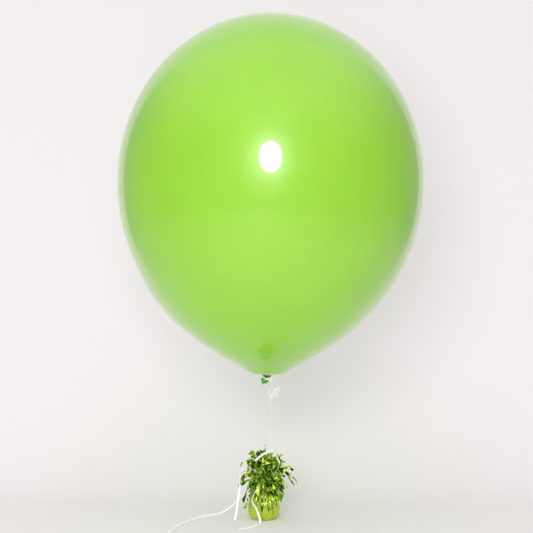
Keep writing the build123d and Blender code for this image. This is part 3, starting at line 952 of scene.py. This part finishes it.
def build_camera():
    """A level camera, its view shifted down so that upright lines stay upright."""
    camera = bpy.data.objects.new("camera", bpy.data.cameras.new("camera"))
    bpy.context.scene.collection.objects.link(camera)
    camera.data.sensor_width = 36
    camera.data.lens = camera.data.sensor_width * CAMERA_DISTANCE / VIEW_WIDTH
    camera.data.shift_y = (VIEW_CENTRE[1] - CAMERA_HEIGHT) / VIEW_WIDTH
    camera.location = (VIEW_CENTRE[0], -CAMERA_DISTANCE, CAMERA_HEIGHT)
    camera.rotation_euler = (math.pi / 2, 0, 0)
    bpy.context.scene.camera = camera


def area_light(name, place, target, size, power, shape="DISK", size_y=None):
    light = bpy.data.lights.new(name, "AREA")
    light.shape = shape
    light.size = size
    if size_y:
        light.size_y = size_y
    light.energy = power
    lamp = bpy.data.objects.new(name, light)
    bpy.context.scene.collection.objects.link(lamp)
    lamp.location = place
    aim = Vector(target) - Vector(place)
    lamp.rotation_euler = aim.to_track_quat("-Z", "Y").to_euler()
    return lamp


def build_lights():
    middle = (0.01, 0, 0.65)
    soft = area_light("soft_key", (-0.35, -2.75, 1.2), middle, 1.2, 38)
    soft.visible_glossy = False
    shine = area_light("highlight", (-0.02, -2.75, 1.33), middle, 0.75, 42, "ELLIPSE", 0.90)
    shine.visible_diffuse = False


def build_world():
    """A plain studio: a bright ceiling, dim sides, and white to the camera."""
    world = bpy.data.worlds.new("studio")
    bpy.context.scene.world = world
    world.use_nodes = True
    tree = world.node_tree
    back = tree.nodes["Background"]
    place = tree.nodes.new("ShaderNodeTexCoord")
    parts = tree.nodes.new("ShaderNodeSeparateXYZ")
    tree.links.new(place.outputs["Generated"], parts.inputs[0])
    ceiling = tree.nodes.new("ShaderNodeMapRange")
    ceiling.interpolation_type = "SMOOTHSTEP"
    tree.links.new(parts.outputs["Z"], ceiling.inputs["Value"])
    for key, value in (("From Min", 0.25), ("From Max", 0.9), ("To Min", 0.43), ("To Max", 1.0)):
        ceiling.inputs[key].default_value = value
    seen = tree.nodes.new("ShaderNodeLightPath")
    pick = tree.nodes.new("ShaderNodeMix")
    tree.links.new(seen.outputs["Is Camera Ray"], pick.inputs["Factor"])
    tree.links.new(ceiling.outputs["Result"], pick.inputs["A"])
    pick.inputs["B"].default_value = 0.88
    tree.links.new(pick.outputs["Result"], back.inputs["Strength"])
    back.inputs["Color"].default_value = (1.0, 0.975, 0.975, 1)


def stage_material(name, hide):
    """Plain matt white, lit from within where it stands up. Hide gives the share that is not seen."""
    paint = Paint(name, FLOOR_WHITE, 0.85, Specular_IOR_Level=0.15)
    height = paint.node("ShaderNodeSeparateXYZ")
    paint.link(paint.place, height.inputs[0])
    up = paint.spread(height.outputs["Z"], 0.0, 0.28, 0, 1)
    mottle = paint.spread(paint.noise(0.4), 0.3, 0.7, 0, 1)
    floor = paint.mix(mottle, FLOOR_WHITE, tuple(0.985 * c for c in FLOOR_WHITE))
    glow = paint.maths("MULTIPLY", up, WALL_GLOW)
    paint.feed(Base_Color=paint.mix(up, floor, WALL_WHITE), Emission_Strength=glow)
    paint.shader.inputs["Emission Color"].default_value = (1.0, 0.955, 0.985, 1)
    clear = paint.node("ShaderNodeBsdfTransparent")
    mixed = paint.node("ShaderNodeMixShader")
    paint.link(hide(paint), mixed.inputs[0])
    paint.link(paint.shader.outputs[0], mixed.inputs[1])
    paint.link(clear.outputs[0], mixed.inputs[2])
    paint.link(mixed.outputs[0], paint.tree.nodes["Material Output"].inputs["Surface"])
    return paint.material


def far_out(paint):
    """1 far from the object and 0 near it, so that the floor has no visible end."""
    distance = paint.node("ShaderNodeVectorMath", operation="LENGTH")
    paint.link(paint.place, distance.inputs[0])
    return paint.spread(distance.outputs["Value"], 1.0, 3.2, 0, 1)


def seen_aslant(paint):
    """1 where the camera sees a sheet aslant, and for all light that reaches it from behind."""
    geometry = paint.node("ShaderNodeNewGeometry")
    facing = paint.node("ShaderNodeVectorMath", operation="DOT_PRODUCT")
    paint.link(geometry.outputs["Incoming"], facing.inputs[0])
    facing.inputs[1].default_value = (0, -1, 0)
    path = paint.node("ShaderNodeLightPath")
    aslant = paint.maths("LESS_THAN", facing.outputs["Value"], 0.9)
    hidden = paint.maths("MULTIPLY", aslant, path.outputs["Is Camera Ray"])
    return paint.maths("MAXIMUM", hidden, geometry.outputs["Backfacing"])


def build_stage():
    """A pale floor and, behind the object, a wall that curves down into it."""
    size, wall_y, bend, half_width, height = 6.0, 0.45, 0.3, 0.72, 2.6
    corners = [(-size, -size, 0), (size, -size, 0), (size, size, 0), (-size, size, 0)]
    floor = mesh_object("floor", corners, [(0, 1, 2, 3)], stage_material("floor_white", far_out))
    angle = np.linspace(0, math.pi / 2, 24)
    side = [(wall_y - bend + bend * math.sin(a), bend - bend * math.cos(a)) for a in angle]
    side.append((wall_y, height))
    points = [(x, y, z) for y, z in side for x in (-half_width, half_width)]
    faces = [(2 * i, 2 * i + 1, 2 * i + 3, 2 * i + 2) for i in range(len(side) - 1)]
    wall = mesh_object("backdrop", points, faces, stage_material("wall_white", seen_aslant))


# ---------------------------------------------------------------------- build the lot

build_balloon()
build_knot()
build_tail()
build_lip()
build_wrap()
build_small_knot("ribbon_hitch", "hitch_knot", "hitch", HITCH_PIVOT, HITCH_BALL)
build_small_knot("ribbon_foot_knot", "sling_knot", "foot_knot", FOOT_PIVOT, APEX_BALL)
build_tether()
build_curls()
build_sling()
for name, node, points, facings in RIBBON_ENDS:
    build_ribbon_end(name, node, points, facings)
build_pouch()
build_tie()
build_roots()
build_tassel("tassel_strips_outer", "tassel_outer", 21, 130, OUTER_TIPS, (-60, 5), (0.8, 1.5))
build_tassel("tassel_strips_middle", "tassel_middle", 34, 115, [], (-5, 50), (0.7, 1.3))
build_tassel("tassel_strips_inner", "tassel_inner", 55, 70, UPPER_TIPS, (35, 88), (0.5, 1.0))
for node, material in (("slug_cup", cup_material()), ("weight_core", core_material())):
    frame["nodes"][node].data.materials.clear()
    frame["nodes"][node].data.materials.append(material)

build_stage()
build_world()
build_lights()
build_camera()
bpy.context.scene.view_settings.view_transform = "Standard"
